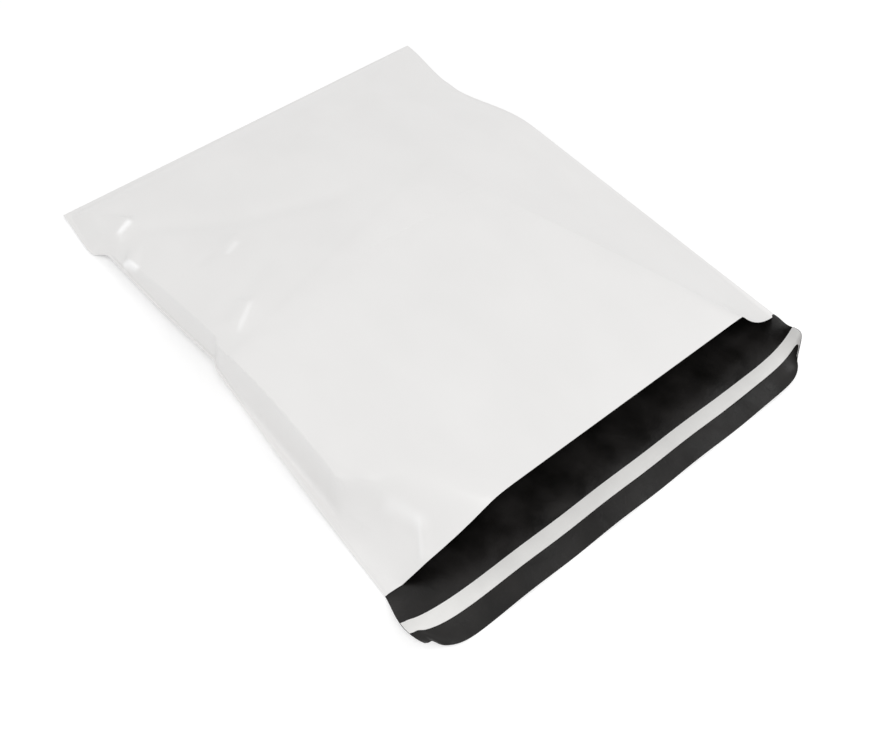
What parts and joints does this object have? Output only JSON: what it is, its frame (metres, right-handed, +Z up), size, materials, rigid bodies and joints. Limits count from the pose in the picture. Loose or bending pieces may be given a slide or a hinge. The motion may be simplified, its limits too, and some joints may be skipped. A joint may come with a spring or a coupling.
{
  "type": "poly mailer bag",
  "caption": "Film mailing bag lying on its back panel, front panel raised and mouth open, with a self-seal flap and its release liner.",
  "frame": {"origin": "centre of the bag's bounding box in plan, on the plane that it lies on", "axes": "+X along the mouth towards the right seam, +Y from the mouth to the closed end, +Z up through the front panel"},
  "size_m": [0.408, 0.551, 0.0521],
  "materials": {
    "film": "co-extruded polyethylene film, satin white outside and near-black inside",
    "adhesive": "clear amber hot-melt adhesive, glossy",
    "liner": "silicone-coated off-white film, satin, finely wrinkled"
  },
  "bodies": {
    "root": {"film_pocket": "film", "adhesive_strip": "adhesive", "release_liner": "liner"}
  },
  "joints": []
}
